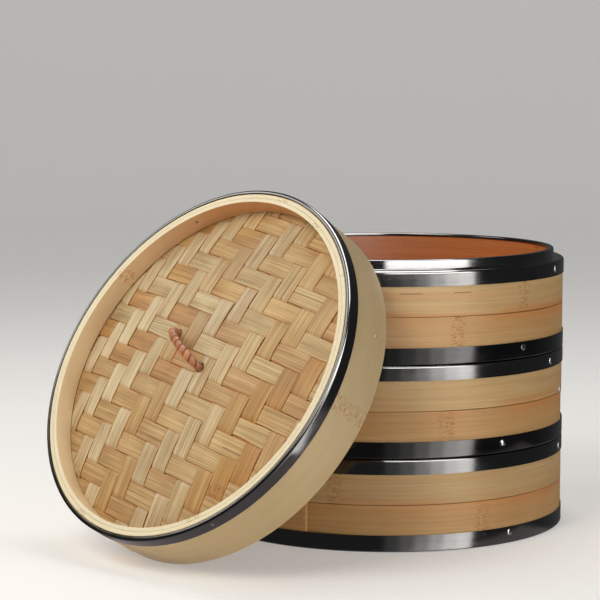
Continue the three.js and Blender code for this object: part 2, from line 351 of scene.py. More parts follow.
def bar_part(section, count, place, tint, seed, node=None, edge_half=None):
    """A straight or bowed strip: place(a, t, n) puts the section's point (t, n) at the share a of
    the way along, and also returns how far along it is in mm, how much painted crevice shade it
    takes (0 to 1) and how far from a lengthwise split. tint is one colour or a function of the
    vertex."""
    own = random.Random(seed)
    shift = [own.uniform(-400, 400) for _ in range(3)]
    verts, loc, mark, tints = [], [], [], []
    for k in range(count + 1):
        for t, n in section:
            x, y, z, run, crevice_shade, split = place(k / count, t, n)
            verts.append((x, y, z))
            tints.append(tint(x, y) if callable(tint) else tint)
            loc.append((run + shift[0], shift[1] + n, t + 1.7 * n + shift[2]))
            apart = FAR_FROM_NODE if node is None else run - node
            # The darker edge: partly the strip's brown cut edge, partly painted shade of the gap.
            edge = 0.0 if edge_half is None else max(0.0, 1 - (edge_half - abs(t)) / EDGE_BAND)
            mark.append((apart, max(edge, crevice_shade), split))
    size = len(section)
    faces = [tuple(range(size))[::-1], tuple(count * size + j for j in range(size))]
    faces += skin(count + 1, size)
    return verts, faces, loc, mark, tints


def drill(part, centres, radius):
    """The part with round holes along Z through it."""
    verts, faces, *values = part
    work = new_object("drilled", new_mesh("drilled", verts, faces))
    tools = []
    for x, y in centres:
        bit = bmesh.new()
        bmesh.ops.create_cone(bit, cap_ends=True, segments=32, radius1=radius, radius2=radius,
                              depth=120, matrix=Matrix.Translation((x, y, 30)))
        tool_mesh = bpy.data.meshes.new("drill")
        bit.to_mesh(tool_mesh)
        bit.free()
        tool = new_object("drill", tool_mesh)
        step = work.modifiers.new("hole", "BOOLEAN")
        step.operation, step.solver, step.object = "DIFFERENCE", "EXACT", tool
        tools.append(tool)
    bpy.context.view_layer.update()
    done = work.evaluated_get(bpy.context.evaluated_depsgraph_get()).to_mesh()
    spots = [v.co.copy() for v in done.vertices]
    new_faces = [tuple(p.vertices) for p in done.polygons]
    for item in [work, *tools]:
        data = item.data
        bpy.data.objects.remove(item)
        bpy.data.meshes.remove(data)

    # Every new vertex lies on the old surface and takes its values from the face there.
    surface = BVHTree.FromPolygons(verts, faces)
    new_values = [[] for _ in values]
    for spot in spots:
        on_face, _, index, _ = surface.find_nearest(spot)
        corners = faces[index]
        weights = poly_3d_calc([Vector(verts[c]) for c in corners], on_face)
        for old, new in zip(values, new_values):
            new.append(tuple(sum(w * old[c][i] for w, c in zip(weights, corners))
                             for i in range(3)))
    return [tuple(spot) for spot in spots], new_faces, *new_values


# ------------------------------------------------ materials


class Nodes:
    """Short names for the shader nodes that the materials share."""

    def __init__(self, name):
        self.material = bpy.data.materials.new(name)
        self.material.use_nodes = True
        self.tree = self.material.node_tree
        self.tree.nodes.clear()
        self.bsdf = self.add("ShaderNodeBsdfPrincipled")
        out = self.add("ShaderNodeOutputMaterial")
        self.link(self.bsdf.outputs["BSDF"], out.inputs["Surface"])

    def add(self, kind):
        return self.tree.nodes.new(kind)

    def link(self, a, b):
        self.tree.links.new(a, b)

    def put(self, value, socket):
        if isinstance(value, bpy.types.NodeSocket):
            self.link(value, socket)
        else:
            socket.default_value = value

    def attribute(self, name, output="Vector"):
        node = self.add("ShaderNodeAttribute")
        node.attribute_name = name
        return node.outputs[output]

    def split(self, vector):
        node = self.add("ShaderNodeSeparateXYZ")
        self.link(vector, node.inputs[0])
        return node.outputs

    def scale(self, vector, x, y, z):
        node = self.add("ShaderNodeVectorMath")
        node.operation = "MULTIPLY"
        self.link(vector, node.inputs[0])
        node.inputs[1].default_value = (x, y, z)
        return node.outputs[0]

    def noise(self, vector, along, across, detail=2.0, rough=0.5, distort=0.0):
        node = self.add("ShaderNodeTexNoise")
        self.link(self.scale(vector, along, along, across), node.inputs["Vector"])
        node.inputs["Scale"].default_value = 1.0
        node.inputs["Detail"].default_value = detail
        node.inputs["Roughness"].default_value = rough
        node.inputs["Distortion"].default_value = distort
        return node.outputs["Fac"]

    def math(self, operation, a, b=0.0, c=0.0, clamp=False):
        node = self.add("ShaderNodeMath")
        node.operation = operation
        node.use_clamp = clamp
        for value, socket in zip((a, b, c), node.inputs):
            self.put(value, socket)
        return node.outputs[0]

    def band(self, value, low, high, to_low=0.0, to_high=1.0):
        node = self.add("ShaderNodeMapRange")
        node.interpolation_type = "SMOOTHSTEP"
        for v, socket in zip((value, low, high, to_low, to_high), node.inputs):
            self.put(v, socket)
        return node.outputs[0]

    def mix(self, share, a, b, blend="MIX"):
        node = self.add("ShaderNodeMix")
        node.data_type = "RGBA"
        node.blend_type = blend
        self.put(share, node.inputs[0])
        for value, socket in ((a, node.inputs[6]), (b, node.inputs[7])):
            self.put(value if isinstance(value, bpy.types.NodeSocket) else (*value, 1.0), socket)
        return node.outputs[2]

    def times(self, a, b):
        """One colour times the other."""
        return self.mix(1.0, a, b, "MULTIPLY")

    def vary(self, value, gain, base=1.0):
        """The base, raised or lowered as the value, usually a noise, leaves 0.5."""
        return self.math("MULTIPLY_ADD", self.math("SUBTRACT", value, 0.5), gain, base)

    def toned(self, value, powers=(1.0, 1.0, 1.0)):
        """The value as a colour, with a power for each channel: warmer where it is darker."""
        node = self.add("ShaderNodeCombineColor")
        for power, socket in zip(powers, node.inputs):
            self.link(self.math("POWER", value, power), socket)
        return node.outputs[0]

    def bump(self, height, distance):
        node = self.add("ShaderNodeBump")
        node.inputs["Distance"].default_value = distance * MM
        node.inputs["Strength"].default_value = 1.0
        self.link(height, node.inputs["Height"])
        self.link(node.outputs[0], self.bsdf.inputs["Normal"])


# Colours of a bamboo strip's details, each times the strip's own colour, and of a split in it.
FLECK_TONE = (0.52, 0.40, 0.30)
NODE_DARK = (0.60, 0.36, 0.17)
NODE_PALE = (1.30, 1.32, 1.3)
SPLIT_COLOUR = (0.12, 0.05, 0.02)
NODE_REACH, NODE_CORE = 6.5, 4.0   # half widths of a joint's band, where it starts and is full, mm


def bamboo(name, fine, fine_gain, broad_gain, streak_gain, patch_gain=0.15,
           streak=(0.50, 0.21, 0.06), streak_width=0.10, fleck=0.35, relief=0.10,
           edge=(0.36, 0.15, 0.05), edge_gain=0.0, edge_patchy=False, splits=0.0):
    """Split bamboo: fibres along the strip, wider tone bands, short dark flecks, and the speckled
    band of each joint of the culm. The tint attribute is each strip's own colour; fine is how many
    fibres there are to a millimetre, and each gain how strongly its layer shows."""
    m = Nodes(name)
    loc = m.attribute("loc")
    marks = m.split(m.attribute("mark"))
    tint = m.attribute("tint", "Color")
    fibre = m.noise(loc, 0.013, fine, 3.0, 0.6)
    band = m.noise(loc, 0.006, 0.28, 2.0, 0.5)
    wide = m.noise(loc, 0.004, streak_width, 1.0, 0.5, 0.2)
    patch = m.noise(loc, 0.03, 0.05, 2.0, 0.5)
    dashes = m.noise(loc, 0.10, fine * 2.1, 1.0, 0.4)
    gain = m.vary(fibre, fine_gain * 4)
    gain = m.vary(band, broad_gain * 2, gain)
    gain = m.vary(patch, patch_gain, gain)
    colour = m.times(tint, m.toned(gain, (0.75, 1.0, 1.35)))
    colour = m.mix(m.math("MULTIPLY", m.band(wide, 0.53, 0.75), streak_gain), colour, streak)
    flecks = m.math("MULTIPLY", m.band(dashes, 0.62, 0.74), fleck)
    colour = m.mix(flecks, colour, m.times(tint, FLECK_TONE))

    # The joint of the culm: a band some 10 mm wide, full of short wavy dashes, dark and pale.
    apart = m.math("ABSOLUTE", m.vary(m.noise(loc, 0.09, 0.25, 1.0), 6.0, marks[0]))
    inside = m.band(apart, NODE_REACH, NODE_CORE)
    ticks = m.band(m.noise(loc, 0.34, 1.4, 1.0, 0.5, 0.5), 0.53, 0.62)
    pale_ticks = m.band(m.noise(loc, 0.31, 1.25, 1.0, 0.5, 0.7), 0.54, 0.64)
    dark = m.math("MULTIPLY", inside, m.math("MULTIPLY_ADD", ticks, 0.62, 0.13))
    pale = m.math("MULTIPLY", m.math("MULTIPLY", inside, pale_ticks), 0.6)
    colour = m.mix(dark, colour, m.times(tint, NODE_DARK))
    colour = m.mix(pale, colour, m.times(tint, NODE_PALE))
    # The edge colour: orange streaks by the walls' seam, the skirt's stain, and on strips their
    # brown edges with painted shade in the gaps and where a strip dives under another.
    if edge_gain:
        share = m.math("MULTIPLY", marks[1], edge_gain)
        if edge_patchy:
            share = m.math("MULTIPLY", share, m.band(m.noise(loc, 0.014, 0.02, 1.0), 0.36, 0.58))
            share = m.math("MULTIPLY", share, m.band(m.noise(loc, 0.009, 0.33, 2.0), 0.30, 0.52,
                                                     0.25, 1.0))
        colour = m.mix(share, colour, edge)
    if splits:
        crack = m.band(m.math("ABSOLUTE", marks[2]), 0.5, 0.15)
        colour = m.mix(m.math("MULTIPLY", crack, splits), colour, SPLIT_COLOUR)
    m.link(colour, m.bsdf.inputs["Base Color"])

    roughness = m.vary(fibre, 0.35, 0.46)
    m.link(m.math("ADD", roughness, m.math("MULTIPLY", dark, 0.2)), m.bsdf.inputs["Roughness"])
    m.bsdf.inputs["Specular IOR Level"].default_value = 0.35
    height = m.math("MULTIPLY_ADD", band, 0.5, m.math("MULTIPLY", fibre, 0.9))
    height = m.math("SUBTRACT", height, m.math("MULTIPLY", flecks, 0.8))
    height = m.math("MULTIPLY_ADD", m.math("MULTIPLY", inside, ticks), -0.7, height)
    height = m.math("MULTIPLY_ADD", inside, 0.6, height)
    m.bump(height, relief)
    return m.material


def polished_steel(name, base, rough=0.12):
    """Rolled stainless sheet: polished, with hair-fine lines round it, smears and a few specks.
    The tint attribute is how bright each sheet is, a painted reflection: darker on bottom bands
    that mirror darker surroundings."""
    m = Nodes(name)
    loc = m.attribute("loc")
    lines = m.noise(loc, 0.02, 3.2, 3.0, 0.7)
    smear = m.noise(loc, 0.03, 0.09, 3.0, 0.6, 0.4)
    specks = m.band(m.noise(loc, 0.5, 0.6, 2.0, 0.5), 0.70, 0.78)
    gain = m.vary(smear, 0.35, m.vary(lines, 0.5))
    colour = m.times(m.attribute("tint", "Color"), m.toned(gain))
    m.link(m.times(base, colour), m.bsdf.inputs["Base Color"])
    m.bsdf.inputs["Metallic"].default_value = 1.0
    value = m.vary(lines, 0.10, m.vary(smear, 0.22, rough))
    m.link(m.math("MULTIPLY_ADD", specks, 0.2, value, clamp=True), m.bsdf.inputs["Roughness"])
    m.bump(lines, 0.012)
    return m.material


# Painted shade in the grooves between the cane's wraps.
CANE_GROOVE_SHADE = (0.10, 0.025, 0.008)


def wound_cane(name):
    """Split cane: glossy skin with fibres along the strip, and painted shade in the grooves between
    its wraps."""
    m = Nodes(name)
    loc = m.attribute("loc")
    marks = m.split(m.attribute("mark"))
    tint = m.attribute("tint", "Color")
    fibre = m.noise(loc, 0.05, 2.4, 3.0, 0.6)
    patch = m.noise(loc, 0.12, 0.3, 2.0, 0.5)
    gain = m.vary(patch, 0.7, m.vary(fibre, 0.9))
    colour = m.times(tint, m.toned(gain))
    # Painted shade darkens the cane towards each groove.
    colour = m.mix(m.math("MULTIPLY", marks[1], 0.9), colour, CANE_GROOVE_SHADE)
    m.link(colour, m.bsdf.inputs["Base Color"])
    m.link(m.math("MULTIPLY_ADD", fibre, 0.3, 0.38), m.bsdf.inputs["Roughness"])
    m.bsdf.inputs["Specular IOR Level"].default_value = 0.3
    m.bump(m.math("ADD", fibre, patch), 0.10)
    return m.material


# Both steels are far darker than stainless steel: painted reflection of dark surroundings, the
# pins' a little lighter so their highlights show.
STEEL = polished_steel("steel", (0.115, 0.112, 0.108))
PIN_STEEL = polished_steel("pin_steel", (0.30, 0.29, 0.28))
WALL = bamboo("wall_bamboo", fine=0.9, fine_gain=0.15, broad_gain=0.17, streak_gain=0.32,
              streak_width=0.13, fleck=0.10, edge=(0.54, 0.23, 0.060), edge_gain=1.0,
              edge_patchy=True, splits=0.75)
LID_WOOD = bamboo("lid_bamboo", fine=0.9, fine_gain=0.05, broad_gain=0.07, streak_gain=0.05,
                  fleck=0.06, edge=(0.88, 0.54, 0.26), edge_gain=0.75)
INNER = bamboo("inner_bamboo", fine=0.9, fine_gain=0.14, broad_gain=0.22, streak_gain=0.35,
               streak=(0.24, 0.07, 0.015))
SLATS = bamboo("slat_bamboo", fine=1.1, fine_gain=0.16, broad_gain=0.2, streak_gain=0.25,
               edge_gain=0.3)
# The woven strips' edge colour is partly their brown edges and partly painted shade of the gaps and
# crossings.
WOVEN = bamboo("woven_bamboo", fine=1.25, fine_gain=0.48, broad_gain=0.36, streak_gain=0.36,
               patch_gain=0.9, streak=(0.42, 0.19, 0.055), streak_width=0.22, fleck=0.22,
               relief=0.18, edge=(0.52, 0.19, 0.04), edge_gain=0.7, splits=0.8)
CANE = wound_cane("cane")

# Colours of the strips themselves.
PALE = (0.520, 0.335, 0.143)
WARM = (0.490, 0.274, 0.094)
INSIDE = (0.43, 0.125, 0.024)
RIM = (0.78, 0.68, 0.47)
# The rim hoop's inner face runs between the next two: painted shade where it faces down, painted
# light where it faces the lamps.
RIM_SHADED = (0.55, 0.255, 0.098)
RIM_LIT = (0.96, 0.77, 0.48)
SKIRT = (0.53, 0.385, 0.195)
SLAT = (0.52, 0.33, 0.15)
CANE_SKIN = (0.44, 0.165, 0.062)
NO_TINT = (1.0, 1.0, 1.0)

# ------------------------------------------------ the tiers

collar = sheet_outline(
    [(BAND_R, COLLAR_FOOT)]
    + arc(BAND_R - SHOULDER_ROUND, SHOULDER - SHOULDER_ROUND, SHOULDER_ROUND, 0, 90)
    + arc(LIP_R + LIP_FILLET, SHOULDER + LIP_FILLET, LIP_FILLET, 270, 183)
    + arc(LIP_R - LIP_TAPER - LIP_ROLL, LIP_TOP - LIP_ROLL, LIP_ROLL, 3, 90, 4)
    + arc(POT_R, LIP_TOP - LIP_ROLL, LIP_ROLL, 90, 180, 4)
    + [(POT_R - LIP_ROLL, LIP_TOP - LIP_TURN_IN)], SHEET)
bottom_band = sheet_outline(
    [(BAND_TURN_IN, 0.0)]
    + arc(BAND_R - BAND_ROUND, BAND_ROUND, BAND_ROUND, 270, 360, 4)
    + [(BAND_R, BAND_HEIGHT)], SHEET)
board_foot = SHEET + GAP
board_top = SHOULDER - SHOULDER_ROUND - 2 * GAP
backing_in, backing_out = LIP_R - SHEET, WALL_R - BOARD - GAP
backing_top = SHOULDER - SHEET - GAP
backing = [
    (backing_out, board_foot), (backing_out, backing_top), (backing_in, backing_top),
    (backing_in, REBATE), (LIP_R + LIP_CLEARANCE, REBATE), (LIP_R + LIP_CLEARANCE, board_foot)]
hoop_out = LIP_R - SHEET - GAP

# For each tier: how bright the steel of its bottom band is, a painted reflection, darker on the
# upper tiers' bands that mirror darker surroundings; where the ends and the culm joints of its
# boards and inner hoop are, in degrees; the slits in its upper board; and its pins as (angle,
# height, radius under the head, rise of the head).
TIER_MARKS = {
    "top_tier": {
        "band": 0.4,
        "upper": (196, [0.5, 168]), "lower": (141, [-24.5, 122, 240]),
        "inner": (155, [60, 200]),
        "slits": [(-60, -48, 47.2), (-43.2, -35, 47.2), (-26.5, -19.8, 47.3)],
        "pins": [(20.5, 56.8, BAND_R, 0.9), (200, 56.5, BAND_R, 0.9), (0.2, 7.4, BAND_R, 0.38),
                 (140, 6.5, BAND_R, 1.0)],
    },
    "middle_tier": {
        "band": 0.5,
        "upper": (152, [70, 231]), "lower": (33, [-28.3, 150]),
        "inner": (20, [110, 290]),
        "pins": [(16.9, 56.4, BAND_R, 0.9), (212, 56.6, BAND_R, 0.9), (-8.6, 6.6, BAND_R, 1.4),
                 (158, 6.8, BAND_R, 1.0), (29.3, 32.4, WALL_R, 0.8)],
    },
    "bottom_tier": {
        "band": 1.0,
        "upper": (104, [-62.4, 60, 188]), "lower": (-71.2, [-16, 128]),
        "inner": (250, [10, 150]),
        "pins": [(27.3, 56.2, BAND_R, 0.9), (192, 56.0, BAND_R, 0.9), (-5.2, 7.3, BAND_R, 0.7),
                 (149, 6.9, BAND_R, 1.0)],
    },
}


def pin(name, body, angle, height, radius, rise, head=PIN_HEAD, inward=False):
    """A domed pin head on a hoop, with its shank through the hoop."""
    outline = [(0.0, -PIN_LENGTH), (PIN_SHANK_R, -PIN_LENGTH), (PIN_SHANK_R, -0.25), (head, -0.2),
               (head, 0.05)]
    outline += [(head * math.cos(a), rise * math.sin(a)) for a in
                (math.radians(15 * k) for k in range(1, 6))] + [(0.0, rise)]
    steps = 20
    verts = [(0.0, 0.0, outline[0][1])]
    for r, z in outline[1:-1]:
        verts += [(r * math.cos(math.tau * k / steps), r * math.sin(math.tau * k / steps), z)
                  for k in range(steps)]
    verts.append((0.0, 0.0, outline[-1][1]))
    rings = len(outline) - 2
    faces = []
    for k in range(steps):
        n = (k + 1) % steps
        faces.append((0, 1 + n, 1 + k))
        for j in range(rings - 1):
            a, b = 1 + j * steps, 1 + (j + 1) * steps
            faces.append((a + k, a + n, b + n, b + k))
        last = 1 + (rings - 1) * steps
        faces.append((last + k, last + n, len(verts) - 1))
    turn = math.radians(angle)
    out = Vector((math.cos(turn), math.sin(turn), 0)) * (-1 if inward else 1)
    up = Vector((0, 0, 1))
    basis = Matrix((up.cross(out), up, out)).transposed().to_4x4()
    spot = Vector((math.cos(turn) * radius, math.sin(turn) * radius, height)) * MM
    part = (verts, faces, [(x * 3, y * 3, z * 3) for x, y, z in verts],
            [(FAR_FROM_NODE, 0.0, NO_SPLIT)] * len(verts), NO_TINT)
    return solid(name, body, [part], PIN_STEEL, at=Matrix.Translation(spot) @ basis)


def shade(colour, own, spread=0.06, warm=0.04):
    """The colour, a little lighter or darker and a little warmer or cooler."""
    light = 1 + own.uniform(-spread, spread)
    tilt = own.uniform(-warm, warm)
    return (colour[0] * light * (1 + tilt * 0.3), colour[1] * light, colour[2] * light * (1 - tilt))


def board_outline(foot, top):
    """A wall board, with points up its face for the colour near its edges."""
    inner = WALL_R - BOARD
    corners = soften(box_outline(inner, WALL_R, foot, top), 0.2)
    face = [(WALL_R, z) for z in (foot + 2, foot + 5, (foot + top) / 2, top - 5, top - 2)]
    return corners[:4] + face + corners[4:]


def sunned(angle):
    """How strongly the boards have turned orange by the seam: most at 15 degrees round a tier."""
    return 1 + 0.8 * max(0.0, 1 - abs(angle - 15) / 40)


def near_seam(above, fade, strength=1.0):
    """A hoop's warm(angle, z): orange by the seam, fading over fade mm above or below it."""
    side = 1 if above else -1
    return lambda angle, z: max(0.0, 1 - side * (z - SEAM) / fade) * sunned(angle) * strength


def plank(width, thickness, crown=0.25, bevel=0.5):
    """The section of a slat, bar or lath: flat under and a little crowned on top."""
    half = width / 2
    top = [(half * f, thickness + crown * (1 - f * f)) for f in (0.6, 0.2, -0.2, -0.6)]
    corners = soften([(-half, 0), (half, 0), (half, thickness), (-half, thickness)], bevel, 2)
    return corners[:9] + top + corners[9:]


def build_tier(tier, seed):
    own = random.Random(seed)
    marks = TIER_MARKS[tier]

    def hoop(part, outline, tint, material, slot, **more):
        name = f"{tier}_{part}"
        shape = hoop_part(outline, tint, own.randrange(10 ** 6), **more)
        solid(f"{name}_look", tier, [shape], material, [name])

    hoop("top_collar", collar, NO_TINT, STEEL, "steel")
    hoop("bottom_band", bottom_band, (marks["band"],) * 3, STEEL, "steel")
    start, nodes = marks["upper"]
    hoop("upper_board", board_outline(SEAM + SEAM_GAP, board_top), shade(PALE, own), WALL,
         "wall_bamboo", start=start, lap=1.0, nodes=nodes, wobble=0.25, edge_wave=0.25,
         warm=near_seam(True, 6, 0.8), slits=marks.get("slits", ()))
    start, nodes = marks["lower"]
    hoop("lower_board", board_outline(board_foot, SEAM), shade(WARM, own), WALL,
         "wall_bamboo", start=start, lap=1.0, nodes=nodes, wobble=0.25, edge_wave=0.35,
         warm=near_seam(False, 7))
    hoop("backing_hoop", soften(backing, 0.3, 2), WARM, INNER, "inner_bamboo", start=80)
    start, nodes = marks["inner"]
    hoop("inner_hoop", soften(box_outline(POT_R, hoop_out, HOOP_FOOT, LIP_TOP - SHEET - GAP), 0.4),
         shade(INSIDE, own), INNER, "inner_bamboo", start=start, lap=0.7, lap_in=True,
         nodes=nodes)
    ring = box_outline(POT_R - GAP - RING_WIDTH, POT_R - GAP, HOOP_FOOT, RING_TOP)
    hoop("floor_ring", soften(ring, 0.6), shade(INSIDE, own), INNER, "inner_bamboo",
         start=start + 40)

    reach = POT_R - 2 * GAP
    for i in range(7):
        y0 = (i - 3) * SLAT_PITCH

        def place(a, t, n, y0=y0):
            end = math.sqrt(reach ** 2 - (y0 + t) ** 2)
            x = (2 * a - 1) * end
            return x, y0 + t, RING_TOP + GAP + n, x, 0.0, NO_SPLIT

        part = bar_part(plank(SLAT_WIDTH, SLAT_THICKNESS - 0.25), 24, place, shade(SLAT, own, 0.1),
                        own.randrange(10 ** 6), node=own.uniform(-100, 100),
                        edge_half=SLAT_WIDTH / 2)
        solid(f"{tier}_slat_{i + 1}_look", tier, [part], SLATS,
              [f"{tier}_slat_{i + 1}"])
    inner = POT_R - GAP - RING_WIDTH - 2 * GAP
    for i, x0 in enumerate((-BAR_OFFSET, BAR_OFFSET)):
        end = math.sqrt(inner ** 2 - (abs(x0) + BAR_WIDTH / 2) ** 2)

        def place(a, t, n, x0=x0, end=end):
            y = (2 * a - 1) * end
            return x0 + t, y, HOOP_FOOT + n, y, 0.0, NO_SPLIT

        part = bar_part(plank(BAR_WIDTH, RING_TOP - HOOP_FOOT, 0.0, 0.8), 16, place,
                        shade(INSIDE, own, 0.1), own.randrange(10 ** 6), edge_half=BAR_WIDTH / 2)
        solid(f"{tier}_cross_bar_{i + 1}_look", tier, [part], INNER,
              [f"{tier}_cross_bar_{i + 1}"])
    for i, (angle, height, radius, rise) in enumerate(marks["pins"]):
        pin(f"{tier}_pin_{i + 1}", tier, angle, height, radius, rise)


for seed, tier in enumerate(TIERS):
    build_tier(tier, 100 * seed + 7)

# ------------------------------------------------ the lid's hoops

own = random.Random(901)
lid_band = sheet_outline(
    [(BAND_R, LID_BAND_FOOT)]
    + arc(BAND_R - BAND_ROLL, LID_HEIGHT - BAND_ROLL, BAND_ROLL, 0, 90, 8)
    + [(LINING_OUT + LINING_GROOVE, LID_HEIGHT),
       (LINING_OUT + LINING_GROOVE - 0.1, LID_HEIGHT - 0.8)], SHEET)
lining = [
    (LINING_OUT, GAP), (LINING_OUT, LID_HEIGHT), (RIM_OUT + 0.1, LID_HEIGHT),
    (RIM_OUT + 0.1, MOUTH_DEPTH), (MOUTH_R, MOUTH_DEPTH), (MOUTH_R, GAP)]


def stain(angle, z):
    """A reddish patch on the skirt at its open edge, beside the lap."""
    return max(0.0, 1 - abs(angle + 101) / 7) * max(0.0, 1 - z / 9)


# Where the painted light on the rim hoop's inner face is strongest.
RIM_MOST_LIT = 215   # where round the lid the rim hoop is palest, degrees


def blend_colour(a, b, share):
    return tuple(p + (q - p) * share for p, q in zip(a, b))


def rim_tint_with_painted_light(colour):
    """The rim hoop's colours: its inner face is painted, from deep orange painted shade at the top
    of the leaning lid, where it faces down, to pale painted light at its left as the camera sees
    it, and the rest has the one colour."""
    def at(angle, r, z):
        if r > RIM_IN + 0.2 or z > LID_HEIGHT - 0.3:
            return colour
        from_lit = abs((angle - RIM_MOST_LIT + 180) % 360 - 180)
        return blend_colour(RIM_LIT, RIM_SHADED, clamp((from_lit - 5) / 100) ** 1.6)

    return at


LID_HOOPS = [
    ("skirt", soften(box_outline(WALL_R - BOARD, WALL_R, 0, SKIRT_TOP), 0.4), SKIRT,
     dict(start=-101, lap=0.7, nodes=[-4.5, 165], wobble=0.2, warm=stain)),
    ("lining_hoop", soften(lining, 0.25), RIM, dict(start=35, nodes=[80, 250])),
    ("rim_hoop", soften(box_outline(RIM_IN, RIM_OUT, WEAVE_EDGE_Z + GAP, LID_HEIGHT), 0.35), RIM,
     dict(start=345, lap=0.6, lap_in=True, nodes=[60, 151, 300])),
    ("retaining_hoop", soften(box_outline(RETAINER_IN, RIM_OUT, MOUTH_DEPTH, WEAVE_FOOT - GAP),
                              0.5), RIM, dict(start=210, lap=0.6, lap_in=True, nodes=[20, 140])),
]
for part, outline, tint, more in LID_HOOPS:
    colour = shade(tint, own, 0.03)
    shape = hoop_part(outline, rim_tint_with_painted_light(colour) if part == "rim_hoop" else colour,
                      own.randrange(10 ** 6), **more)
    solid(f"lid_{part}_look", "lid", [shape], LID_WOOD, [f"lid_{part}"])
shape = hoop_part(lid_band, NO_TINT, 77)
solid("lid_band_look", "lid", [shape], STEEL, ["lid_band"])
pin("lid_pin_1", "lid", -55, 36.5, BAND_R, 0.3, head=1.2)
pin("lid_pin_2", "lid", 128, 36.5, BAND_R, 0.3, head=1.2)
pin("lid_pin_3", "lid", 119.4, 34.7, RIM_IN, 0.4, head=1.1, inward=True)
pin("lid_pin_4", "lid", 20.3, 11.0, WALL_R, 0.3, head=0.9)

# ------------------------------------------------ the weave


def dome(r):
    """How far the weave has risen, r mm from the lid's axis."""
    return DOME_RISE * (1 - (r / RIM_IN) ** 2) if r < RIM_IN else 0.0


def onto(family, offset, along):
    """The point on the lid at that offset across the family's strips and distance along them."""
    c, s = math.cos(family["angle"]), math.sin(family["angle"])
    offset *= family["side"]
    return s * offset + c * along, -c * offset + s * along


def offset_of(family, x, y):
    across = math.sin(family["angle"]) * x - math.cos(family["angle"]) * y
    return across * family["side"]


handle_feet = [(HANDLE_X + s * math.cos(HANDLE_TURN), HANDLE_Y + s * math.sin(HANDLE_TURN))
               for s in (-HANDLE_HALF, HANDLE_HALF)]

CROSSING = 0.24      # how slowly a strip changes from over to under, of 1
STRAIGHTNESS = 0.92  # how flat it runs between, of 1


def over(x):
    """How far up a strip is, from -1 to 1, at x strips into its round of four."""
    wave = math.cos(math.tau * (x + 0.5) / 4)
    steep = max(-1.0, min(1.0, wave / CROSSING))
    return STRAIGHTNESS * math.sin(math.pi / 2 * steep) + (1 - STRAIGHTNESS) * wave


def strip_section(width, thickness, crown=0.08):
    half, q = width / 2, thickness / 2
    face = [(half * f, q + crown * (1 - f * f)) for f in (0.92, 0.6, 0.0, -0.6, -0.92)]
    return [(-half + 0.15, -q), (0.0, -q), (half - 0.15, -q), (half, -q + 0.15), (half, q - 0.15),
            (half - 0.2, q), *face, (-half + 0.2, q), (-half, q - 0.15), (-half, -q + 0.15)]


# Strips that are split lengthwise: how far along the split starts and where across the strip.
TORN = {("weft", 3): (38.0, 1.6), ("weft", -5): (60.0, -2.2), ("warp", 7): (52.0, 0.8)}
WEAVE_R = RIM_OUT - 0.2


def weave(name, edge_z, depth, thickness, swing, step, tone):
    """Both families of strips of one woven sheet, in a two-over two-under twill. depth is the whole
    sheet's, swing how far a strip goes up and down, and step the length of its segments."""
    for family, other, label in ((STEEP, CROSS, "warp"), (CROSS, STEEP, "weft")):
        parts = []
        for i in family["range"]:
            own = random.Random(f"{name} {label} {i}")
            middle = family["first"] + family["pitch"] * i + own.uniform(-0.12, 0.12)
            width = family["pitch"] - 0.35 + own.uniform(-0.3, 0.2)
            limit = WEAVE_R - 1.0
            if abs(middle) - width / 2 > limit - 2.0:
                continue
            length = 2 * math.sqrt(WEAVE_R ** 2 - max(0.0, abs(middle) - width / 2) ** 2)
            drift, phase = own.uniform(0.05, 0.25), own.uniform(0, math.tau)
            pinch = own.uniform(0.3, 1.0)
            tear = TORN.get((label, i))

            def place(a, t, n, i=i, middle=middle, drift=drift, phase=phase, pinch=pinch,
                      tear=tear):
                narrow = pinch * max(0.0, math.sin((2 * a - 1) * 5 + phase)) ** 8
                across = max(-limit, min(limit, middle + t - math.copysign(narrow, t)))
                run = (2 * a - 1) * math.sqrt(WEAVE_R ** 2 - across ** 2)
                across += drift * math.sin(run * 0.031 + phase)
                x, y = onto(family, across, run)
                place_in = (offset_of(other, x, y) - other["first"]) / other["pitch"]
                turn = i - place_in if family is STEEP else place_in - i
                up = family["side"] * over(turn)
                z = edge_z - depth / 2 + dome(math.hypot(x, y)) + swing * up + n
                split = t - tear[1] if tear and run > tear[0] else NO_SPLIT
                # Painted crevice shade where the strip dives under another.
                return x, y, z, run, clamp((0.1 - up) / 0.9), split

            part = bar_part(strip_section(width, thickness), max(6, round(length / step)),
                            place, tone(label, i, own), own.randrange(10 ** 6),
                            node=own.uniform(-160, 160) if own.random() < 0.12 else None,
                            edge_half=width / 2)
            near = [f for f in handle_feet
                    if abs(offset_of(family, *f) - middle) < width / 2 + CANE_HOLE_R]
            parts.append(drill(part, near, CANE_HOLE_R) if near else part)
        solid(f"{name}_{label}", "lid", parts, WOVEN, [name], crease=50)


# Colours of the woven strips. The tables give some strips, by number, a colour of their own, partly
# their own tone and partly painted shade: the warp's darker strips lie on the right, and the weft's
# table colours show at its left.
CREAM = (0.520, 0.390, 0.212)
TAN = (0.455, 0.280, 0.108)
GOLD = (0.455, 0.256, 0.080)
BROWN = (0.420, 0.220, 0.070)
ASH = (0.485, 0.354, 0.178)
WEFT_TONES = {0: BROWN, -1: ASH, -2: BROWN, -3: BROWN, 1: ASH, 2: GOLD, 3: ASH, 5: GOLD}
WARP_TONES = {2: TAN, 3: TAN, 8: TAN, 9: GOLD, 10: BROWN, 11: BROWN}


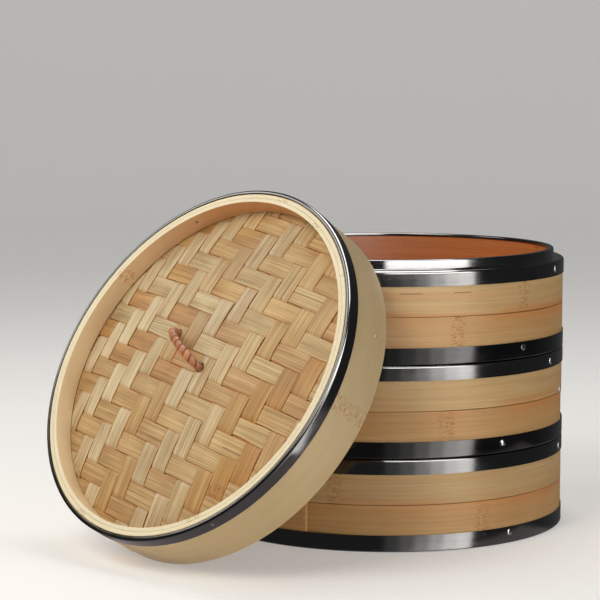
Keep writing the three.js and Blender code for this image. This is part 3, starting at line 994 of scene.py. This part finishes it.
def outer_tone_and_sheen(label, i, own):
    """The outer strips' colours, with painted sheen: the warp is palest on the left; the weft is
    paler on the right, beyond the handle, as light falls across the fibres.
    """
    if label == "warp":
        near = shade(WARP_TONES.get(i, CREAM), own, 0.05, 0.04)
        far = shade(blend_colour(near, CREAM, 0.5), own, 0.05, 0.04)
    else:
        near = shade(WEFT_TONES.get(i, TAN), own, 0.05, 0.05)
        far = shade(blend_colour(near, CREAM, 0.45), own, 0.05, 0.04)
    side = 1 if label == "weft" else own.choice((-1, 1))

    def at(x, y):
        run = x if label == "weft" else y * side
        # Along the weft, the change from its darker left to its paler right is painted sheen; along
        # the warp it is the strip's own tone.
        here = blend_colour(near, far, clamp((run + 20) / 60))
        golden = clamp((x - 5) / 50)
        # Painted sheen whitens the warp towards the left.
        pale = clamp((-30 - x) / 50) if label == "warp" else 0.0
        return tuple(c * (1 - golden * g) * (1 + pale * w)
                     for c, g, w in zip(here, (0.0, 0.04, 0.16), (0.10, 0.15, 0.22)))

    return at


def inner_tone(label, i, own):
    return shade(CREAM if label == "warp" else TAN, own, 0.1, 0.06)


weave("lid_outer_weave", WEAVE_EDGE_Z, OUTER_WEAVE, thickness=0.7, swing=0.66, step=1.35,
      tone=outer_tone_and_sheen)
weave("lid_inner_weave", INNER_EDGE_Z, INNER_WEAVE, thickness=0.6, swing=0.52, step=2.2,
      tone=inner_tone)

# ------------------------------------------------ laths and handle

for k, x0 in enumerate((HANDLE_X - LATH_SPACING, HANDLE_X, HANDLE_X + LATH_SPACING)):
    far = abs(x0) + LATH_WIDTH / 2
    lath_end = math.sqrt((RETAINER_IN - 2 * GAP) ** 2 - far ** 2)

    def place(a, t, n, x0=x0, far=far, lath_end=lath_end):
        y = (2 * a - 1) * lath_end
        z = WEAVE_FOOT - LATH_GAP - LATH_THICKNESS + dome(math.hypot(y, far)) + n
        return x0 + t, y, z, y, 0.0, NO_SPLIT

    part = bar_part(plank(LATH_WIDTH, LATH_THICKNESS, 0.0, 0.7), 40, place, shade(WARM, own, 0.1),
                    500 + k, node=own.uniform(-100, 100), edge_half=LATH_WIDTH / 2)
    solid(f"lid_lath_{k + 1}_look", "lid", [part], SLATS, [f"lid_lath_{k + 1}"])


def handle_path():
    """The closed line along the middle of the cane: over in an arch, down through the weave and
    back under the middle lath."""
    top = WEAVE_EDGE_Z + DOME_RISE
    run = WEAVE_FOOT + dome(abs(HANDLE_X) + LATH_WIDTH) - LATH_GAP - LATH_THICKNESS - GAP - CANE_R
    bend, step = 5.0, 2
    corner = HANDLE_HALF - bend
    leg = range(1, int((top - run - bend) / step))
    points = [(HANDLE_HALF * math.cos(a), top + HANDLE_RISE * math.sin(a))
              for a in (math.pi * k / 40 for k in range(41))]
    points += [(-HANDLE_HALF, top - step * k) for k in leg]
    points += arc(-corner, run + bend, bend, 180, 270)
    points += [(-corner + step * k, run) for k in range(1, int(corner))]
    points += arc(corner, run + bend, bend, 270, 360)
    points += [(HANDLE_HALF, run + bend + step * k) for k in leg]
    return points


WRAPS = 22          # turns of the strip round the whole loop
WRAP_ROWS = 24      # rows of vertices in each
CANE_SIDES = 32
WRAP_GROOVE = 0.75  # depth between two wraps, mm


def handle_loop():
    """The closed loop of cane, wound with one strip: each wrap is rounded, with a groove between
    it and the next."""
    line = handle_path()
    lengths = [0.0]
    for a, b in zip(line, line[1:] + line[:1]):
        lengths.append(lengths[-1] + math.dist(a, b))
    whole = lengths[-1]
    line.append(line[0])

    def at(run):
        run %= whole
        k = next(j for j in range(len(lengths) - 1) if lengths[j + 1] >= run)
        f = (run - lengths[k]) / (lengths[k + 1] - lengths[k])
        (s0, z0), (s1, z1) = line[k], line[k + 1]
        s = s0 + (s1 - s0) * f
        x = HANDLE_X + s * math.cos(HANDLE_TURN)
        y = HANDLE_Y + s * math.sin(HANDLE_TURN)
        return Vector((x, y, z0 + (z1 - z0) * f))

    own = random.Random(37)
    thinner = [own.uniform(0.0, 0.3) for _ in range(WRAPS)]
    tones = [shade(CANE_SKIN, own, 0.14, 0.08) for _ in range(WRAPS)]
    flat = Vector((-math.sin(HANDLE_TURN), math.cos(HANDLE_TURN), 0))
    steps = WRAPS * WRAP_ROWS
    verts, loc, mark, tints = [], [], [], []
    for k in range(steps):
        run = whole * k / steps
        here = at(run)
        along = (at(run + 1.5) - at(run - 1.5)).normalized()
        out = along.cross(flat).normalized()
        for j in range(CANE_SIDES):
            a = math.tau * j / CANE_SIDES
            phase = (k / WRAP_ROWS - j / CANE_SIDES) % WRAPS
            wrap, share = int(phase), phase % 1
            from_middle = abs(2 * share - 1)
            radius = CANE_R - thinner[wrap] - WRAP_GROOVE * from_middle ** 3.5
            verts.append(tuple(here + (flat * math.cos(a) + out * math.sin(a)) * radius))
            loc.append((a * CANE_R, 30.0 * wrap, share * whole / WRAPS))
            # The mark's second value is how much painted groove shade the cane takes here.
            mark.append((FAR_FROM_NODE, clamp((from_middle - 0.70) / 0.25), NO_SPLIT))
            tints.append(tones[wrap])
    return verts, skin(steps, CANE_SIDES, closed=True), loc, mark, tints


solid("lid_handle_loop_look", "lid", [handle_loop()], CANE, ["lid_handle_loop"], crease=70)

# ------------------------------------------------ floor, light and camera, in metres

FLOOR_DROP = 0.0002   # how far the floor is under the object's foot


def stage_bowl(floor_r=3.5, corner=2.0, wall=3.0):
    """A floor that curves up into a pale wall all round."""
    profile = [(0.001, 0), (0.5, 0), (1.5, 0), (floor_r, 0)]
    profile += [(floor_r + corner * math.sin(a), corner - corner * math.cos(a))
                for a in (math.radians(9 * k) for k in range(1, 11))]
    profile.append((floor_r + corner, wall))
    steps = 96
    turns = [math.tau * k / steps for k in range(steps)]
    verts = [(r * math.cos(a), r * math.sin(a), z - FLOOR_DROP) for r, z in profile for a in turns]
    faces = [(j * steps + k, j * steps + (k + 1) % steps, (j + 1) * steps + (k + 1) % steps,
              (j + 1) * steps + k) for j in range(len(profile) - 1) for k in range(steps)]
    mesh = bpy.data.meshes.new("stage_floor")
    mesh.from_pydata(verts, [], [f[::-1] for f in faces])
    mesh.shade_smooth()
    m = Nodes("stage_floor")
    m.bsdf.inputs["Base Color"].default_value = (0.74, 0.73, 0.71, 1)
    m.bsdf.inputs["Emission Color"].default_value = (1.0, 0.99, 0.97, 1)
    m.bsdf.inputs["Emission Strength"].default_value = 0.28
    m.bsdf.inputs["Roughness"].default_value = 0.75
    m.bsdf.inputs["Specular IOR Level"].default_value = 0.2
    mesh.materials.append(m.material)
    obj = new_object("stage_floor", mesh)
    obj.visible_glossy = False  # polished steel would mirror the whole pale room


stage_bowl()

world = bpy.data.worlds.new("studio")
bpy.context.scene.world = world
world.use_nodes = True
background = world.node_tree.nodes["Background"]
background.inputs["Color"].default_value = (0.95, 0.97, 1.0, 1)
background.inputs["Strength"].default_value = 0.08

stack = AT["bottom_tier"].translation
CAMERA_AZIMUTH = math.radians(42.3)   # of the camera round the stack, from -Y towards +X
camera_side = Vector((math.cos(CAMERA_AZIMUTH), math.sin(CAMERA_AZIMUTH), 0))
camera_in = Vector((-math.sin(CAMERA_AZIMUTH), math.cos(CAMERA_AZIMUTH), 0))
UP = Vector((0, 0, 1))


def softbox(name, side, towards, height, width, tall, radiance, aim, colour=(1, 1, 1),
            only_gloss=False):
    """A soft light of even brightness, side to the camera's right of the stack, towards the camera
    and height above the floor. only_gloss lights show in polished surfaces and light nothing."""
    data = bpy.data.lights.new(name, "AREA")
    data.shape = "RECTANGLE"
    data.size, data.size_y = width, tall
    data.energy = radiance * math.pi * width * tall
    data.color = colour
    obj = new_object(name, data)
    obj.location = stack + camera_side * side - camera_in * towards + UP * height
    obj.rotation_mode = "QUATERNION"
    obj.rotation_quaternion = (aim - obj.location).to_track_quat("-Z", "Y")
    obj.visible_camera = False
    obj.visible_diffuse = not only_gloss


middle = (cad_box[0] + cad_box[1]) / 2
softbox("key", -0.75, 0.95, 1.15, 0.8, 0.8, 6.0, middle, (1.0, 0.96, 0.90))
softbox("left", -1.1, -0.1, 0.85, 0.5, 0.5, 4.5, middle, (1.0, 0.98, 0.95))
softbox("right", 0.58, 0.66, 0.38, 0.56, 0.75, 0.6, stack + UP * 0.12, (1.0, 0.97, 0.93))

# Panels in a ring round the stack give its steel bright stretches that end sharply at the right
# and fade to the left. One under the floor greys the lid's band where that faces down.
PANEL_RING, PANEL_WIDTH = 0.55, 0.083
for k, radiance in enumerate((4.8, 4.0, 2.4, 1.2, 0.5, 0.2)):
    turn = math.radians(47.5 - 8.4 * k)
    aside, ahead = PANEL_RING * math.sin(turn), PANEL_RING * math.cos(turn)
    softbox(f"glint_{k + 1}", aside, ahead, -0.04, PANEL_WIDTH, 0.56, radiance,
            stack - UP * 0.04, only_gloss=True)
    softbox(f"lip_glint_{k + 1}", aside, ahead, 0.36, PANEL_WIDTH, 0.24, 10.0,
            stack + UP * 0.36, only_gloss=True)
softbox("top", 0.1, -0.5, 1.3, 0.9, 0.5, 3.5, middle, (1.0, 0.98, 0.95))
softbox("top_glint", 0.1, 0.0, 1.3, 1.2, 0.8, 10.0, middle, only_gloss=True)
softbox("low_glint", 0.6, -0.2, -0.5, 2.5, 2.5, 0.38,
        stack + camera_side * 0.6 + camera_in * 0.2, (1.0, 0.85, 0.87), only_gloss=True)

CAMERA_DISTANCE, CAMERA_HEIGHT = 1.56434, 0.32263
CAMERA_YAW, CAMERA_PITCH = math.radians(-2.185), math.radians(6.123)
camera = new_object("camera", bpy.data.cameras.new("camera"))
bpy.context.scene.camera = camera
camera.location = stack - camera_in * CAMERA_DISTANCE + UP * CAMERA_HEIGHT
level = camera_side * math.sin(CAMERA_YAW) + camera_in * math.cos(CAMERA_YAW)
looking = level * math.cos(CAMERA_PITCH) - UP * math.sin(CAMERA_PITCH)
camera.rotation_mode = "QUATERNION"
camera.rotation_quaternion = looking.to_track_quat("-Z", "Y")
camera.data.sensor_width = 36
camera.data.lens = 132.08
camera.data.clip_start, camera.data.clip_end = 0.05, 30
bpy.context.scene.view_settings.view_transform = "Standard"
